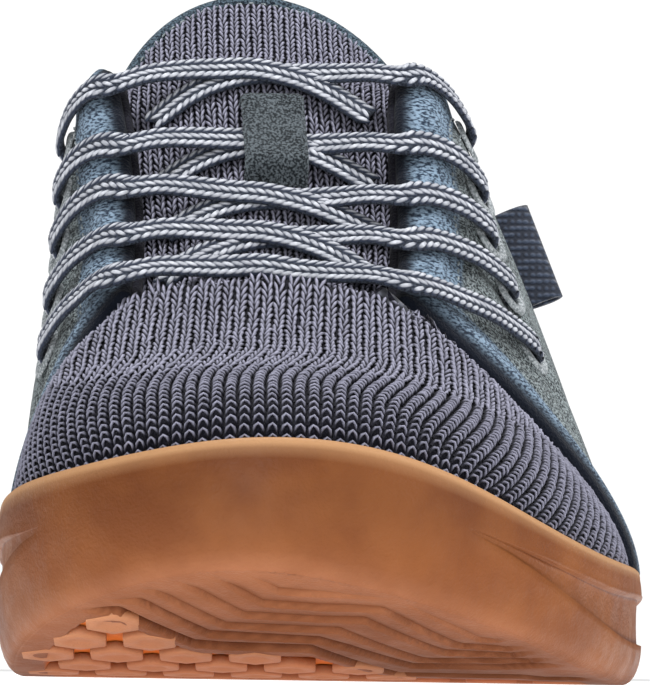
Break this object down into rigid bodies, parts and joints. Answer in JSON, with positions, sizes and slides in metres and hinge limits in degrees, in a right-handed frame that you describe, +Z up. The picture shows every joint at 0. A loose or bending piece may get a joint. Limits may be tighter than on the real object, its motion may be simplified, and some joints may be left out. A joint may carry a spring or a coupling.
{
  "type": "barefoot shoe",
  "caption": "Left lace-up barefoot shoe with a knitted upper, suede quarters and a gum rubber sole with a high toe bumper.",
  "frame": {"origin": "centre of the bounding box in plan, on the floor under the sole", "axes": "+Z up, -Y towards the toe, +X towards the outer side of this left shoe"},
  "size_m": [0.106, 0.2799, 0.122],
  "materials": {
    "gum_rubber": "translucent gum rubber, satin, fine grain",
    "knit": "chunky grey-violet knit",
    "suede": "blue-grey suede",
    "binding": "woven edge tape",
    "lace": "flat braid, pale grey and slate",
    "eyelet": "satin grey",
    "footbed": "dark textile over foam",
    "label": "woven ribbon"
  },
  "bodies": {
    "root": {"outsole": "gum_rubber", "insole": "footbed", "upper": "knit", "tongue": "knit", "tongue_binding": "binding", "quarter_medial": "suede", "quarter_lateral": "suede", "lace_keeper": "suede", "side_label": "label", "lace_bar_1": "lace", "lace_cross_2": "lace", "lace_cross_3": "lace", "lace_cross_4": "lace", "lace_cross_5": "lace", "eyelet_medial_1": "eyelet", "eyelet_medial_2": "eyelet", "eyelet_medial_3": "eyelet", "eyelet_medial_4": "eyelet", "eyelet_medial_5": "eyelet", "eyelet_lateral_1": "eyelet", "eyelet_lateral_2": "eyelet", "eyelet_lateral_3": "eyelet", "eyelet_lateral_4": "eyelet", "eyelet_lateral_5": "eyelet"}
  },
  "joints": []
}
